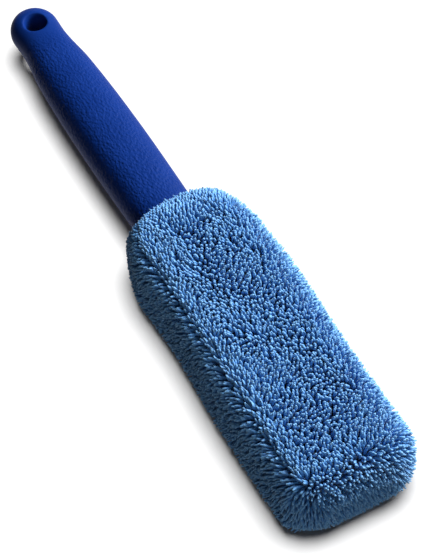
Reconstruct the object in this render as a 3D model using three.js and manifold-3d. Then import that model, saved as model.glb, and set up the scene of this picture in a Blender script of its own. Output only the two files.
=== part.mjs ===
// Wheel brush: a moulded grip, a stiff blade between two foam pads, and a pull-off twist-pile cover.
// Millimetres. +X runs from the grip to the far end of the head, +Z is up.
// The origin is under the middle of the whole brush, on the surface that it lies on.
import * as THREE from "three";
import { mergeVertices } from "three/addons/utils/BufferGeometryUtils.js";
import Module from "manifold-3d";

const wasm = await Module();
wasm.setup();

// ---- driving dimensions ----

const TOTAL_LENGTH = 390;
const HEAD_LENGTH = 204;
const HEAD_WIDTH = 76;
const HEAD_HEIGHT = 50;

const TIP_X = -TOTAL_LENGTH / 2;
const HEAD_END_X = TOTAL_LENGTH / 2;
const MOUTH_X = HEAD_END_X - HEAD_LENGTH;
const MID_Z = HEAD_HEIGHT / 2;

const GAP = 0.3; // clearance between pieces that touch on the real brush
const PILE = 9; // depth of the pile and its knitted backing

const SHOULDER_LENGTH = 34; // over which the head widens from its mouth
const MOUTH_HALF_WIDTH = 25;
const MOUTH_HALF_HEIGHT = 20.5;
const SIDE_ROUNDING = 16; // of the head's long edges, seen along X
const END_CORNER = 19; // of the far end, seen from above
const END_ROUNDING = 17; // of the far end's top and bottom edges
const LEAST_ROUNDING = 3;
const HEIGHT_LEAD = 1.6; // how much sooner than its width the shoulder reaches its full height
const SEAM_INSET = 12; // from the head's outline to the seam of its top and bottom panels
const TAPE_WIDTH = 5;
const TAPE_THICKNESS = 1;

const COLLAR_LENGTH = 25; // of the grip, hidden inside the cover
const BLADE_THICKNESS = 4;
const BLADE_HALF_WIDTH = 22;
const TANG_HALF_WIDTH = 9.5;
const TANG_LENGTH = 55;
const GLUE_THICKNESS = 0.4;
const GRIP_WALL = 4;

// ---- solids ----

const ROUND_STEPS = 36; // points round a section
const LEAST_FLAT = 0.5; // half the flat that is left between two rounded corners

function toManifold(geometry) {
  const bare = geometry.clone();
  bare.deleteAttribute("normal");
  bare.deleteAttribute("uv");
  const merged = mergeVertices(bare, 1e-4);
  const mesh = new wasm.Mesh({
    numProp: 3,
    vertProperties: new Float32Array(merged.attributes.position.array),
    triVerts: new Uint32Array(merged.index.array),
  });
  return new wasm.Manifold(mesh);
}

function toGeometry(solid) {
  const mesh = solid.getMesh();
  const geometry = new THREE.BufferGeometry();
  geometry.setAttribute("position", new THREE.BufferAttribute(mesh.vertProperties, 3));
  geometry.setIndex(new THREE.BufferAttribute(mesh.triVerts, 1));
  geometry.computeVertexNormals();
  return geometry;
}

// A closed solid through rings of equally many points, each ring in a plane across X.
function loft(rings) {
  const count = rings[0].length;
  const points = rings.flat();
  const faces = [];
  for (let i = 0; i + 1 < rings.length; i++) {
    for (let k = 0; k < count; k++) {
      const a = i * count + k;
      const b = i * count + ((k + 1) % count);
      faces.push(a, b, a + count, b, b + count, a + count);
    }
  }
  for (const index of [0, rings.length - 1]) {
    const centre = rings[index].reduce((sum, p) => sum.add(p), new THREE.Vector3()).divideScalar(count);
    points.push(centre);
    const middle = points.length - 1;
    for (let k = 0; k < count; k++) {
      const a = index * count + k;
      const b = index * count + ((k + 1) % count);
      faces.push(...(index === 0 ? [b, a, middle] : [a, b, middle]));
    }
  }
  const geometry = new THREE.BufferGeometry().setFromPoints(points);
  geometry.setIndex(faces);
  return toManifold(geometry);
}

// A section with half sizes w and h whose corners have the given radius.
function roundedRing(x, w, h, radius) {
  const r = Math.min(radius, w - LEAST_FLAT, h - LEAST_FLAT);
  const ring = [];
  for (let k = 0; k < ROUND_STEPS; k++) {
    const corner = Math.floor((4 * k) / ROUND_STEPS);
    const angle = (corner + ((k % (ROUND_STEPS / 4)) / (ROUND_STEPS / 4 - 1))) * (Math.PI / 2);
    const sideY = corner === 0 || corner === 3 ? 1 : -1;
    const sideZ = corner < 2 ? 1 : -1;
    const y = sideY * (w - r) + r * Math.cos(angle);
    const z = sideZ * (h - r) + r * Math.sin(angle);
    ring.push(new THREE.Vector3(x, y, MID_Z + z));
  }
  return ring;
}

// An oval section, a little squarer than an ellipse.
function ovalRing(x, w, h) {
  const SQUARENESS = 2.3;
  const ring = [];
  for (let k = 0; k < ROUND_STEPS; k++) {
    const angle = (k / ROUND_STEPS) * 2 * Math.PI;
    const c = Math.cos(angle);
    const s = Math.sin(angle);
    const y = w * Math.sign(c) * Math.abs(c) ** (2 / SQUARENESS);
    const z = h * Math.sign(s) * Math.abs(s) ** (2 / SQUARENESS);
    ring.push(new THREE.Vector3(x, y, MID_Z + z));
  }
  return ring;
}

function box(x0, x1, y0, y1, z0, z1) {
  const geometry = new THREE.BoxGeometry(x1 - x0, y1 - y0, z1 - z0);
  geometry.translate((x0 + x1) / 2, (y0 + y1) / 2, (z0 + z1) / 2);
  return toManifold(geometry);
}

// A solid of revolution about a vertical axis, from [radius, height] pairs that start and end on it.
function turned(profile, x, y) {
  const TURN_STEPS = 28;
  const points = profile.map(([r, z]) => new THREE.Vector2(r, z));
  const geometry = new THREE.LatheGeometry(points, TURN_STEPS);
  geometry.rotateX(Math.PI / 2);
  geometry.translate(x, y, 0);
  return toManifold(geometry);
}

function roundIn(length, radius, x, limit) {
  const depth = Math.max(0, radius - (limit - x));
  return length - radius + Math.sqrt(Math.max(0, radius * radius - depth * depth));
}

// ---- the head's envelope ----

// The head's outside, moved inwards all round by inset.
function headSolid(inset, startX = MOUTH_X) {
  const endX = HEAD_END_X - inset;
  const stations = [];
  const SHOULDER_STEPS = 7;
  for (let i = 0; i <= SHOULDER_STEPS; i++) {
    stations.push(MOUTH_X + SHOULDER_LENGTH * (1 - Math.cos(((i / SHOULDER_STEPS) * Math.PI) / 2)));
  }
  const END_STEPS = 9;
  const endStart = endX - END_CORNER + inset;
  for (let i = 0; i <= END_STEPS; i++) {
    stations.push(endStart + (endX - endStart) * Math.sin(((i / END_STEPS) * Math.PI) / 2));
  }
  const rings = stations
    .filter((x) => x > startX)
    .map((x) => headRing(x, inset, endX));
  return loft([headRing(startX, inset, endX), ...rings]);
}

function headRing(x, inset, endX) {
  const along = THREE.MathUtils.clamp((x - MOUTH_X) / SHOULDER_LENGTH, 0, 1);
  const swell = Math.sqrt(1 - (1 - along) ** 2);
  const wide = THREE.MathUtils.lerp(MOUTH_HALF_WIDTH, HEAD_WIDTH / 2, swell) - inset;
  const rise = Math.min(1, HEIGHT_LEAD * swell);
  const high = THREE.MathUtils.lerp(MOUTH_HALF_HEIGHT, HEAD_HEIGHT / 2, rise) - inset;
  const w = roundIn(wide, END_CORNER - inset, x, endX);
  const h = roundIn(high, Math.max(LEAST_ROUNDING, END_ROUNDING - inset), x, endX);
  return roundedRing(x, w, h, Math.max(LEAST_ROUNDING, SIDE_ROUNDING - inset));
}

// An upright prism that stands inset from the head's outline, seen from above.
function outlinePrism(inset) {
  const half = HEAD_WIDTH / 2 - inset;
  const end = HEAD_END_X - inset;
  const radius = END_CORNER - inset;
  const start = MOUTH_X - 1;
  const shape = new THREE.Shape();
  shape.moveTo(start, -half);
  shape.lineTo(end - radius, -half);
  shape.absarc(end - radius, radius - half, radius, -Math.PI / 2, 0);
  shape.absarc(end - radius, half - radius, radius, 0, Math.PI / 2);
  shape.lineTo(start, half);
  shape.closePath();
  const geometry = new THREE.ExtrudeGeometry(shape, {
    depth: HEAD_HEIGHT + 2,
    bevelEnabled: false,
    curveSegments: 8,
  });
  geometry.translate(0, 0, -1);
  return toManifold(geometry);
}

function slabOf(x0, x1, z0, z1) {
  return box(x0, x1, -HEAD_WIDTH, HEAD_WIDTH, z0, z1);
}

// ---- grip ----

// [distance from the tip, half width, half thickness]
const GRIP_SECTIONS = [
  [15, 14.9, 11.2],
  [30, 14.8, 11.4],
  [53, 17.4, 12.6],
  [85, 18.8, 14],
  [124, 19.3, 14.5],
  [166, 18.9, 14.2],
  [186, 18.2, 13.6],
  [211, 15, 10.8],
];

function gripHalfSizes(distance) {
  const rows = GRIP_SECTIONS;
  const curve = (column) => {
    let i = rows.findIndex((row) => row[0] >= distance);
    if (i < 0) i = rows.length - 1;
    if (i === 0) return rows[0][column];
    const t = (distance - rows[i - 1][0]) / (rows[i][0] - rows[i - 1][0]);
    const before = rows[Math.max(0, i - 2)][column];
    const after = rows[Math.min(rows.length - 1, i + 1)][column];
    const a = rows[i - 1][column];
    const b = rows[i][column];
    const slopeA = (b - before) / 2;
    const slopeB = (after - a) / 2;
    return (
      a * (2 * t ** 3 - 3 * t ** 2 + 1) +
      slopeA * (t ** 3 - 2 * t ** 2 + t) +
      b * (3 * t ** 2 - 2 * t ** 3) +
      slopeB * (t ** 3 - t ** 2)
    );
  };
  return [curve(1), curve(2)];
}

function gripLoft(from, to, steps, shrink) {
  const rings = [];
  for (let i = 0; i <= steps; i++) {
    const distance = THREE.MathUtils.lerp(from, to, i / steps);
    const [w, h] = gripHalfSizes(distance);
    rings.push(ovalRing(TIP_X + distance, w - shrink, h - shrink));
  }
  return rings;
}

function gripOutside() {
  const [bulbLength, bulbWidth, bulbHeight] = GRIP_SECTIONS[0];
  const TIP_STEPS = 8;
  const FIRST_STEP = 0.35; // the first ring is this share of a step from the tip
  const BLUNTNESS = 0.7; // under 1, the tip is blunter seen from the side than from above
  const GRIP_STEPS = 22;
  const rounded = [];
  for (let i = 0; i < TIP_STEPS; i++) {
    const angle = ((i + FIRST_STEP) / TIP_STEPS) * (Math.PI / 2);
    const x = TIP_X + bulbLength * (1 - Math.cos(angle));
    rounded.push(ovalRing(x, bulbWidth * Math.sin(angle), bulbHeight * Math.sin(angle) ** BLUNTNESS));
  }
  const length = TOTAL_LENGTH - HEAD_LENGTH + COLLAR_LENGTH;
  return loft([...rounded, ...gripLoft(bulbLength, length, GRIP_STEPS, 0)]);
}

const HANG_HOLE_X = TIP_X + 17.5;
const HANG_HOLE_RADIUS = 6.2;
const HANG_MOUTH_RADIUS = 7.4;
const FLARE_START = 8; // from the mid plane
const FLARE_DEPTH = 2.4;

// The hang hole goes straight through and flares out at both faces.
function hangHole() {
  const flareEnd = FLARE_START + FLARE_DEPTH;
  const outside = HEAD_HEIGHT / 2;
  const profile = [
    [0, MID_Z - outside],
    [HANG_MOUTH_RADIUS, MID_Z - outside],
    [HANG_MOUTH_RADIUS, MID_Z - flareEnd],
    [HANG_HOLE_RADIUS, MID_Z - FLARE_START],
    [HANG_HOLE_RADIUS, MID_Z + FLARE_START],
    [HANG_MOUTH_RADIUS, MID_Z + flareEnd],
    [HANG_MOUTH_RADIUS, MID_Z + outside],
    [0, MID_Z + outside],
  ];
  return turned(profile, HANG_HOLE_X, 0);
}

const SCREW_X = MOUTH_X + 15;
const SCREW_Y = 5.5;
const SCREW_SHANK = 1.7;
const SCREW_HEAD = 3.1;
const SCREW_SEAT_Z = MID_Z - 8.5;
const SCREW_TOP_Z = MID_Z + 7;

function screwHole(y) {
  const shank = SCREW_SHANK + GAP;
  const head = SCREW_HEAD + GAP;
  const profile = [
    [0, 0],
    [head, 0],
    [head, SCREW_SEAT_Z],
    [shank, SCREW_SEAT_Z],
    [shank, SCREW_TOP_Z + GAP],
    [0, SCREW_TOP_Z + GAP],
  ];
  return turned(profile, SCREW_X, y);
}

function tangScrew(y) {
  const HEAD_DEPTH = 2;
  const HEAD_CHAMFER = 0.6;
  const POINT_LENGTH = 2;
  const seat = SCREW_SEAT_Z - GAP;
  const bottom = seat - HEAD_DEPTH;
  const profile = [
    [0, bottom],
    [SCREW_HEAD - HEAD_CHAMFER, bottom],
    [SCREW_HEAD, bottom + HEAD_DEPTH / 2],
    [SCREW_HEAD, seat],
    [SCREW_SHANK, seat],
    [SCREW_SHANK, SCREW_TOP_Z - POINT_LENGTH],
    [0, SCREW_TOP_Z],
  ];
  return turned(profile, SCREW_X, y).subtract(crossRecess(y, bottom));
}

// The cross in a screw's head, for the screwdriver.
function crossRecess(y, bottom) {
  const LONG = 2;
  const SHORT = 0.4;
  const DEPTH = 1.2;
  const alongX = box(SCREW_X - LONG, SCREW_X + LONG, y - SHORT, y + SHORT, bottom - 1, bottom + DEPTH);
  const alongY = box(SCREW_X - SHORT, SCREW_X + SHORT, y - LONG, y + LONG, bottom - 1, bottom + DEPTH);
  return alongX.add(alongY);
}

const TANG_START_X = MOUTH_X + COLLAR_LENGTH - TANG_LENGTH;
const COLLAR_END_X = MOUTH_X + COLLAR_LENGTH;

// The grip is hollow from its narrow neck to the tang, whose slot opens into the hollow.
function gripHollow() {
  const HOLLOW_START = 38; // from the tip
  const HOLLOW_STEPS = 10;
  const BEFORE_TANG = 4;
  const end = TANG_START_X - TIP_X - BEFORE_TANG;
  const hollow = loft(gripLoft(HOLLOW_START, end, HOLLOW_STEPS, GRIP_WALL));
  const high = BLADE_THICKNESS / 2 + GAP;
  const wide = TANG_HALF_WIDTH + GAP;
  const slot = box(TIP_X + end - 1, COLLAR_END_X + 1, -wide, wide, MID_Z - high, MID_Z + high);
  return hollow.add(slot);
}

function grip() {
  return gripOutside()
    .subtract(hangHole())
    .subtract(gripHollow())
    .subtract(screwHole(SCREW_Y))
    .subtract(screwHole(-SCREW_Y));
}

// ---- blade, glue and foam ----

const BLADE_START_X = COLLAR_END_X + 2 * GAP;
const BLADE_END_X = HEAD_END_X - 22;
const BLADE_CORNER = 9;

function plate(x0, x1, half, corner, z0, z1) {
  const shape = new THREE.Shape();
  shape.moveTo(x0 + corner, -half);
  shape.lineTo(x1 - corner, -half);
  shape.absarc(x1 - corner, corner - half, corner, -Math.PI / 2, 0);
  shape.absarc(x1 - corner, half - corner, corner, 0, Math.PI / 2);
  shape.lineTo(x0 + corner, half);
  shape.absarc(x0 + corner, half - corner, corner, Math.PI / 2, Math.PI);
  shape.absarc(x0 + corner, corner - half, corner, Math.PI, 1.5 * Math.PI);
  const geometry = new THREE.ExtrudeGeometry(shape, {
    depth: z1 - z0,
    bevelEnabled: false,
    curveSegments: 6,
  });
  geometry.translate(0, 0, z0);
  return toManifold(geometry);
}

function blade() {
  const z0 = MID_Z - BLADE_THICKNESS / 2;
  const z1 = MID_Z + BLADE_THICKNESS / 2;
  const paddle = plate(BLADE_START_X, BLADE_END_X, BLADE_HALF_WIDTH, BLADE_CORNER, z0, z1);
  const tang = box(TANG_START_X, BLADE_START_X + BLADE_CORNER, -TANG_HALF_WIDTH, TANG_HALF_WIDTH, z0, z1);
  let solid = paddle.add(tang);
  for (const y of [-SCREW_Y, SCREW_Y]) {
    const radius = SCREW_SHANK + GAP;
    solid = solid.subtract(turned([[0, 0], [radius, 0], [radius, HEAD_HEIGHT], [0, HEAD_HEIGHT]], SCREW_X, y));
  }
  return solid;
}

// The lower and upper sheets of glue and foam are mirror images in the mid plane.
function between(from, to, above) {
  return above ? [MID_Z + from, MID_Z + to] : [MID_Z - to, MID_Z - from];
}

const FOAM_INSET = PILE + 2 * GAP + TAPE_THICKNESS + 0.2;
const FOAM_START_X = COLLAR_END_X + 5;

function glueFilm(above) {
  const EDGE = 1; // the glue stops this far inside the blade's edge
  const start = BLADE_THICKNESS / 2 + GAP;
  const [z0, z1] = between(start, start + GLUE_THICKNESS, above);
  const half = BLADE_HALF_WIDTH - EDGE;
  return plate(FOAM_START_X + EDGE, BLADE_END_X - EDGE, half, BLADE_CORNER - EDGE, z0, z1);
}

function foamPad(above) {
  const start = BLADE_THICKNESS / 2 + GLUE_THICKNESS + 2 * GAP;
  const [z0, z1] = between(start, HEAD_HEIGHT, above);
  return headSolid(FOAM_INSET, FOAM_START_X).intersect(slabOf(MOUTH_X, HEAD_END_X, z0, z1));
}

// ---- pull-off cover ----

const CUFF_END_X = MOUTH_X + SHOULDER_LENGTH + 2;
const HEM_LENGTH = 9;
const HEM_THICKNESS = 2.6;
const MOUTH_CLEARANCE = 0.5; // between the grip and the hem
const MOUTH_SIZES = gripHalfSizes(MOUTH_X - TIP_X);

function mouthRing(x, grow) {
  return ovalRing(x, MOUTH_SIZES[0] + grow, MOUTH_SIZES[1] + grow);
}

function mouthTube(x0, x1, inner, outer) {
  const solid = loft([mouthRing(x0, outer), mouthRing(x1, outer)]);
  return solid.subtract(loft([mouthRing(x0 - 1, inner), mouthRing(x1 + 1, inner)]));
}

// The pile fabric as one hollow shell, open at the mouth.
function coverShell() {
  const HEM_END_ROOM = 2;
  const THROAT_TAPER = 3; // the throat ends this much narrower than the grip, inside the pocket
  const POCKET_START = 12; // from the mouth
  const hemRoom = MOUTH_CLEARANCE + HEM_THICKNESS + GAP;
  const throat = loft([
    mouthRing(MOUTH_X - 1, hemRoom),
    mouthRing(MOUTH_X + HEM_LENGTH + HEM_END_ROOM, hemRoom),
    mouthRing(MOUTH_X + SHOULDER_LENGTH, -THROAT_TAPER),
  ]);
  const pocket = headSolid(PILE, MOUTH_X + POCKET_START);
  return headSolid(0).subtract(throat.add(pocket));
}

const SHELL = coverShell();
const PANELS = SHELL.intersect(slabOf(CUFF_END_X, HEAD_END_X + 1, -1, HEAD_HEIGHT + 1));

function cuff() {
  return SHELL.intersect(slabOf(MOUTH_X - 1, CUFF_END_X - GAP, -1, HEAD_HEIGHT + 1));
}

function facePanel(above) {
  const [z0, z1] = between(0, HEAD_HEIGHT, above);
  return PANELS.intersect(outlinePrism(SEAM_INSET)).intersect(slabOf(MOUTH_X, HEAD_END_X, z0, z1));
}

function sideStrip() {
  return PANELS.subtract(outlinePrism(SEAM_INSET - GAP));
}

// Binding tape on the inside of a seam.
function seamTape(above) {
  const outside = PILE + GAP;
  const hollow = headSolid(outside + TAPE_THICKNESS, CUFF_END_X - 1);
  const skin = headSolid(outside, CUFF_END_X).subtract(hollow);
  const outer = outlinePrism(SEAM_INSET - TAPE_WIDTH / 2);
  const inner = outlinePrism(SEAM_INSET + TAPE_WIDTH / 2);
  const [z0, z1] = between(HEAD_HEIGHT / 6, HEAD_HEIGHT, above);
  return skin.intersect(outer).subtract(inner).intersect(slabOf(MOUTH_X, HEAD_END_X, z0, z1));
}

const HEM_END_X = MOUTH_X + HEM_LENGTH;
const HEM_SKIN = 0.8; // thickness of one layer of the folded hem
const HEM_FOLD = 1.2; // thickness of the fold at the mouth
const ELASTIC_PLAY = 0.2; // between the elastic and each layer of the hem

function hem() {
  const start = MOUTH_X + GAP;
  const band = mouthTube(start, HEM_END_X, MOUTH_CLEARANCE, MOUTH_CLEARANCE + HEM_THICKNESS);
  const inner = MOUTH_CLEARANCE + HEM_SKIN;
  const outer = MOUTH_CLEARANCE + HEM_THICKNESS - HEM_SKIN;
  return band.subtract(mouthTube(start + HEM_FOLD, HEM_END_X + 1, inner, outer));
}

function elastic() {
  const start = MOUTH_X + GAP + HEM_FOLD + 2 * ELASTIC_PLAY;
  const inner = MOUTH_CLEARANCE + HEM_SKIN + ELASTIC_PLAY;
  const outer = MOUTH_CLEARANCE + HEM_THICKNESS - HEM_SKIN - ELASTIC_PLAY;
  return mouthTube(start, HEM_END_X - HEM_SKIN, inner, outer);
}

// ---- the brush ----

const GRIP_BLUE = { color: 0x0a2f85, roughness: 0.45, metalness: 0 };
const PILE_BLUE = { color: 0x3f6d9e, roughness: 0.9, metalness: 0 };
const FOAM_GREY = { color: 0x4a4d52, roughness: 0.95, metalness: 0 };
const BLADE_BLACK = { color: 0x1b1c1f, roughness: 0.5, metalness: 0 };
const GLUE_CLEAR = { color: 0xc9c5b4, roughness: 0.4, metalness: 0 };
const TAPE_NAVY = { color: 0x1f3a63, roughness: 0.85, metalness: 0 };
const ELASTIC_WHITE = { color: 0xdcdcd8, roughness: 0.8, metalness: 0 };
const SCREW_STEEL = { color: 0xb9bcc0, roughness: 0.3, metalness: 1 };

function piece(name, solid, look) {
  const mesh = new THREE.Mesh(toGeometry(solid), new THREE.MeshStandardMaterial(look));
  mesh.name = name;
  return mesh;
}

const handle = new THREE.Group();
handle.name = "handle";
handle.add(
  piece("handle_grip", grip(), GRIP_BLUE),
  piece("paddle_blade", blade(), BLADE_BLACK),
  piece("tang_screw_left", tangScrew(SCREW_Y), SCREW_STEEL),
  piece("tang_screw_right", tangScrew(-SCREW_Y), SCREW_STEEL),
  piece("glue_film_upper", glueFilm(true), GLUE_CLEAR),
  piece("glue_film_lower", glueFilm(false), GLUE_CLEAR),
  piece("foam_pad_upper", foamPad(true), FOAM_GREY),
  piece("foam_pad_lower", foamPad(false), FOAM_GREY),
);

const cover = new THREE.Group();
cover.name = "cover";
cover.add(
  piece("cover_top_panel", facePanel(true), PILE_BLUE),
  piece("cover_bottom_panel", facePanel(false), PILE_BLUE),
  piece("cover_side_strip", sideStrip(), PILE_BLUE),
  piece("cover_cuff", cuff(), PILE_BLUE),
  piece("cuff_hem", hem(), TAPE_NAVY),
  piece("cuff_elastic", elastic(), ELASTIC_WHITE),
  piece("seam_tape_upper", seamTape(true), TAPE_NAVY),
  piece("seam_tape_lower", seamTape(false), TAPE_NAVY),
);

const brush = new THREE.Group();
brush.name = "wheel_brush";
brush.add(handle, cover);

export default brush;
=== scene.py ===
import math

import bpy
import numpy as np
from mathutils import Matrix, Vector


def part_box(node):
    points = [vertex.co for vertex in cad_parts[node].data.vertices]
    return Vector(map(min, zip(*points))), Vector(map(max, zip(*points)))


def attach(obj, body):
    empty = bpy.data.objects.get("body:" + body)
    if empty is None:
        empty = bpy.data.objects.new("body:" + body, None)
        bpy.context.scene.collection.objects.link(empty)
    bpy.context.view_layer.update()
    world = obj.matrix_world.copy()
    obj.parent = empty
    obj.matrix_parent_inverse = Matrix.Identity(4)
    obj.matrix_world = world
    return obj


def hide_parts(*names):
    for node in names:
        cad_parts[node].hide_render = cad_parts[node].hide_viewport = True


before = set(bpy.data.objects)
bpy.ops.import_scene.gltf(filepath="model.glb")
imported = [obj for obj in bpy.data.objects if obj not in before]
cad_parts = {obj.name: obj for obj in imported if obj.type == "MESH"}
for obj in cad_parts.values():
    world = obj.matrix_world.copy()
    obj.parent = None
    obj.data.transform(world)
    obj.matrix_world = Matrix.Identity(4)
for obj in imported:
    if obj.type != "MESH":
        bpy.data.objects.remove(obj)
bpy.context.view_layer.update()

# The looks of the wheel brush: a moulded grip, foam pads, and a cover of twisted pile on a knitted backing.
# Shapes are worked out in millimetres in the frame's axes, and made in metres: +X from the grip's tip to the
# far end of the head, +Y across the brush, +Z up. "Right" means the -Y side.

MM = 0.001
SEED = 11


def node_box(name):
    """The low and high corners of a CAD piece's box, in millimetres."""
    low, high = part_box(name)
    return np.array(low) / MM, np.array(high) / MM


# ---- the head's form: the CAD's own, only rounder at the mouth ----

GRIP_LOW, GRIP_HIGH = node_box("handle_grip")
CUFF_LOW, CUFF_HIGH = node_box("cover_cuff")
TIP_X = GRIP_LOW[0]
GRIP_END_X = GRIP_HIGH[0]
MOUTH_X = CUFF_LOW[0]
CUFF_END_X = CUFF_HIGH[0]
HEAD_END_X = node_box("cover_side_strip")[1][0]
MID_X = (MOUTH_X + HEAD_END_X) / 2
HALF_WIDTH = CUFF_HIGH[1]
HALF_HEIGHT = CUFF_HIGH[2] / 2
MID_Z = HALF_HEIGHT

MOUTH_HALF_WIDTH = 25
MOUTH_HALF_HEIGHT = 20.5
SHOULDER_LENGTH = 34  # from the mouth to the head's full width
HEIGHT_LEAD = 1.6  # how much faster the height grows from the mouth than the width
MOUTH_ROUNDING = 17.5  # corner radius of the section at the mouth
SIDE_ROUNDING = 16  # and along the head
END_CORNER = 19  # corner radius of the far end, seen from above
END_ROUNDING = 17  # and seen from the side
LEAST_ROUNDING = 3
LEAST_FLAT = 0.5
SEAM_INSET = 12  # from the head's outline to the seam of the top panel

PILE_DEPTH = 8.2  # from the tips of the pile to the backing it grows from
MOUTH_PILE_DEPTH = 3.4
NECK_LENGTH = 24  # from the mouth to where the pile has its full depth
BOW = 1.6  # the cover sits a little to +Y near the neck, most at BOW_X
BOW_X = 55
BOW_LENGTH = 45


def lerp(a, b, t):
    return a + (b - a) * t


def smooth_step(t):
    t = np.clip(t, 0, 1)
    return t * t * (3 - 2 * t)


def unit(v):
    return v / np.maximum(np.linalg.norm(v, axis=-1, keepdims=True), 1e-9)


def round_in(half, radius, x, limit):
    """A half size that closes in along a quarter circle as x nears limit."""
    depth = np.clip(radius - (limit - x), 0, radius)
    return half - radius + np.sqrt(np.maximum(0, radius**2 - depth**2))


def panel_half_width(x):
    """Half the width of the top panel between its seams at x."""
    outer = section_sizes(np.minimum(x, HEAD_END_X - SEAM_INSET), 0)[0]
    return round_in(outer - SEAM_INSET, END_CORNER - SEAM_INSET, x, HEAD_END_X - SEAM_INSET)


def backing_inset(x):
    """How deep under the tips of the pile the backing lies at x."""
    return lerp(MOUTH_PILE_DEPTH, PILE_DEPTH, smooth_step((x - MOUTH_X) / NECK_LENGTH))


def section_sizes(x, inset):
    """Half width, half height and corner radius of the head's section at x, moved in by inset."""
    x = np.asarray(x, float)
    end = HEAD_END_X - inset
    along = np.clip((x - MOUTH_X) / SHOULDER_LENGTH, 0, 1)
    swell = np.sqrt(1 - (1 - along) ** 2)
    wide = lerp(MOUTH_HALF_WIDTH, HALF_WIDTH, swell) - inset
    high = lerp(MOUTH_HALF_HEIGHT, HALF_HEIGHT, np.minimum(1, HEIGHT_LEAD * swell)) - inset
    w = round_in(wide, END_CORNER - inset, x, end)
    h = round_in(high, np.maximum(LEAST_ROUNDING, END_ROUNDING - inset), x, end)
    rounding = lerp(MOUTH_ROUNDING, SIDE_ROUNDING, smooth_step(along)) - inset
    r = np.minimum(np.maximum(LEAST_ROUNDING, rounding), np.minimum(w, h) - LEAST_FLAT)
    return w, h, r


def half_perimeter(w, h, r):
    return 2 * (w - r) + 2 * (h - r) + math.pi * r


def seam_distance(x, w, r):
    """How far along the section, from its top middle, the seam of the top panel lies."""
    half = panel_half_width(x)
    flat = w - r
    on_arc = flat + r * np.arcsin(np.clip((half - flat) / r, 0, 1))
    return np.where(half < flat, half, on_arc)


def along_section(s, w, h, r):
    """The point s along a section from its top middle towards -Y, all the way round."""
    full = 2 * half_perimeter(w, h, r)
    s = np.mod(s, full)
    far = s > full / 2
    s = np.where(far, full - s, s)
    a, b, quarter = w - r, h - r, math.pi * r / 2
    t1 = np.clip((s - a) / r, 0, math.pi / 2)
    t2 = np.clip((s - a - quarter - 2 * b) / r, 0, math.pi / 2)
    on_side = np.clip(s - a - quarter, 0, 2 * b)
    on_bottom = np.clip(s - a - 2 * quarter - 2 * b, 0, a)
    y = np.minimum(s, a) + r * np.sin(t1) - r * (1 - np.cos(t2)) - on_bottom
    z = h - r * (1 - np.cos(t1)) - on_side - r * np.sin(t2)
    return np.where(far, y, -y), z


def bow(x):
    return BOW * np.exp(-(((x - BOW_X) / BOW_LENGTH) ** 2))


def to_frame(x, y, z):
    """A point of the head, from its distances to the head's own middle line."""
    return np.stack([x + 0 * y, y + bow(x), z + MID_Z], -1)


def head_point(x, v, inset):
    """The point a share v of the way round the section at x."""
    w, h, r = section_sizes(x, inset)
    return to_frame(x, *along_section(v * 2 * half_perimeter(w, h, r), w, h, r))


def head_normal(x, v, inset):
    """The outward normal at that point, from its neighbours."""
    dx, dv = 0.05, 1e-4
    along = head_point(x + dx, v, inset) - head_point(x - dx, v, inset)
    round_it = head_point(x, v + dv, inset) - head_point(x, v - dv, inset)
    return unit(np.cross(round_it, along))


# ---- meshes from arrays ----


def new_object(name, mesh):
    obj = bpy.data.objects.new(name, mesh)
    bpy.context.scene.collection.objects.link(obj)
    return obj


def mesh_of(name, points, faces):
    """A smooth mesh from points in millimetres and arrays of faces, one array for each number of corners."""
    mesh = bpy.data.meshes.new(name)
    points = np.asarray(points, np.float32).reshape(-1, 3) * MM
    corners = np.concatenate([f.reshape(-1) for f in faces]).astype(np.int32)
    sizes = np.concatenate([np.full(len(f), f.shape[1]) for f in faces])
    starts = np.concatenate([[0], np.cumsum(sizes)[:-1]]).astype(np.int32)
    mesh.vertices.add(len(points))
    mesh.vertices.foreach_set("co", points.reshape(-1))
    mesh.loops.add(len(corners))
    mesh.loops.foreach_set("vertex_index", corners)
    mesh.polygons.add(len(sizes))
    mesh.polygons.foreach_set("loop_start", starts)
    mesh.update(calc_edges=True)
    mesh.validate()
    mesh.shade_smooth()
    return mesh


def add_values(mesh, name, values):
    attribute = mesh.attributes.new(name, "FLOAT", "POINT")
    attribute.data.foreach_set("value", np.asarray(values, np.float32).reshape(-1))


def read_values(items, name, width, kind=float):
    values = np.empty(len(items) * width, kind)
    items.foreach_get(name, values)
    return values.reshape(-1, width)


def move_points(mesh, points):
    mesh.vertices.foreach_set("co", points.reshape(-1))
    mesh.update()


def tube_faces(rings, count):
    """Quads between consecutive rings of count points."""
    ring = np.arange(count)
    after = np.roll(ring, -1)
    one = np.stack([ring, after, count + after, count + ring], 1)
    return np.concatenate([one + i * count for i in range(rings - 1)])


def fan(ring, centre):
    """Triangles from a ring of point numbers to one centre point."""
    return np.stack([ring, np.roll(ring, -1), np.full(len(ring), centre)], 1)


def capped_loft(name, rings):
    """A closed mesh through rings, with a fan over each end."""
    count = len(rings[0])
    points = np.concatenate(rings + [rings[0].mean(0)[None], rings[-1].mean(0)[None]])
    ring = np.arange(count)
    start = fan(ring, len(points) - 2)[:, [1, 0, 2]]
    end = fan(ring + (len(rings) - 1) * count, len(points) - 1)
    return mesh_of(name, points, [tube_faces(len(rings), count), start, end])


def lathe(name, profile, x, y, count):
    """A solid turned about an upright axis from a profile of radii and heights."""
    angle = np.arange(count) / count * 2 * math.pi
    rings = []
    for radius, z in profile:
        ring = np.stack([x + radius * np.cos(angle), y + radius * np.sin(angle), np.full(count, z)], 1)
        rings.append(ring)
    return new_object(name, capped_loft(name, rings))


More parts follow.
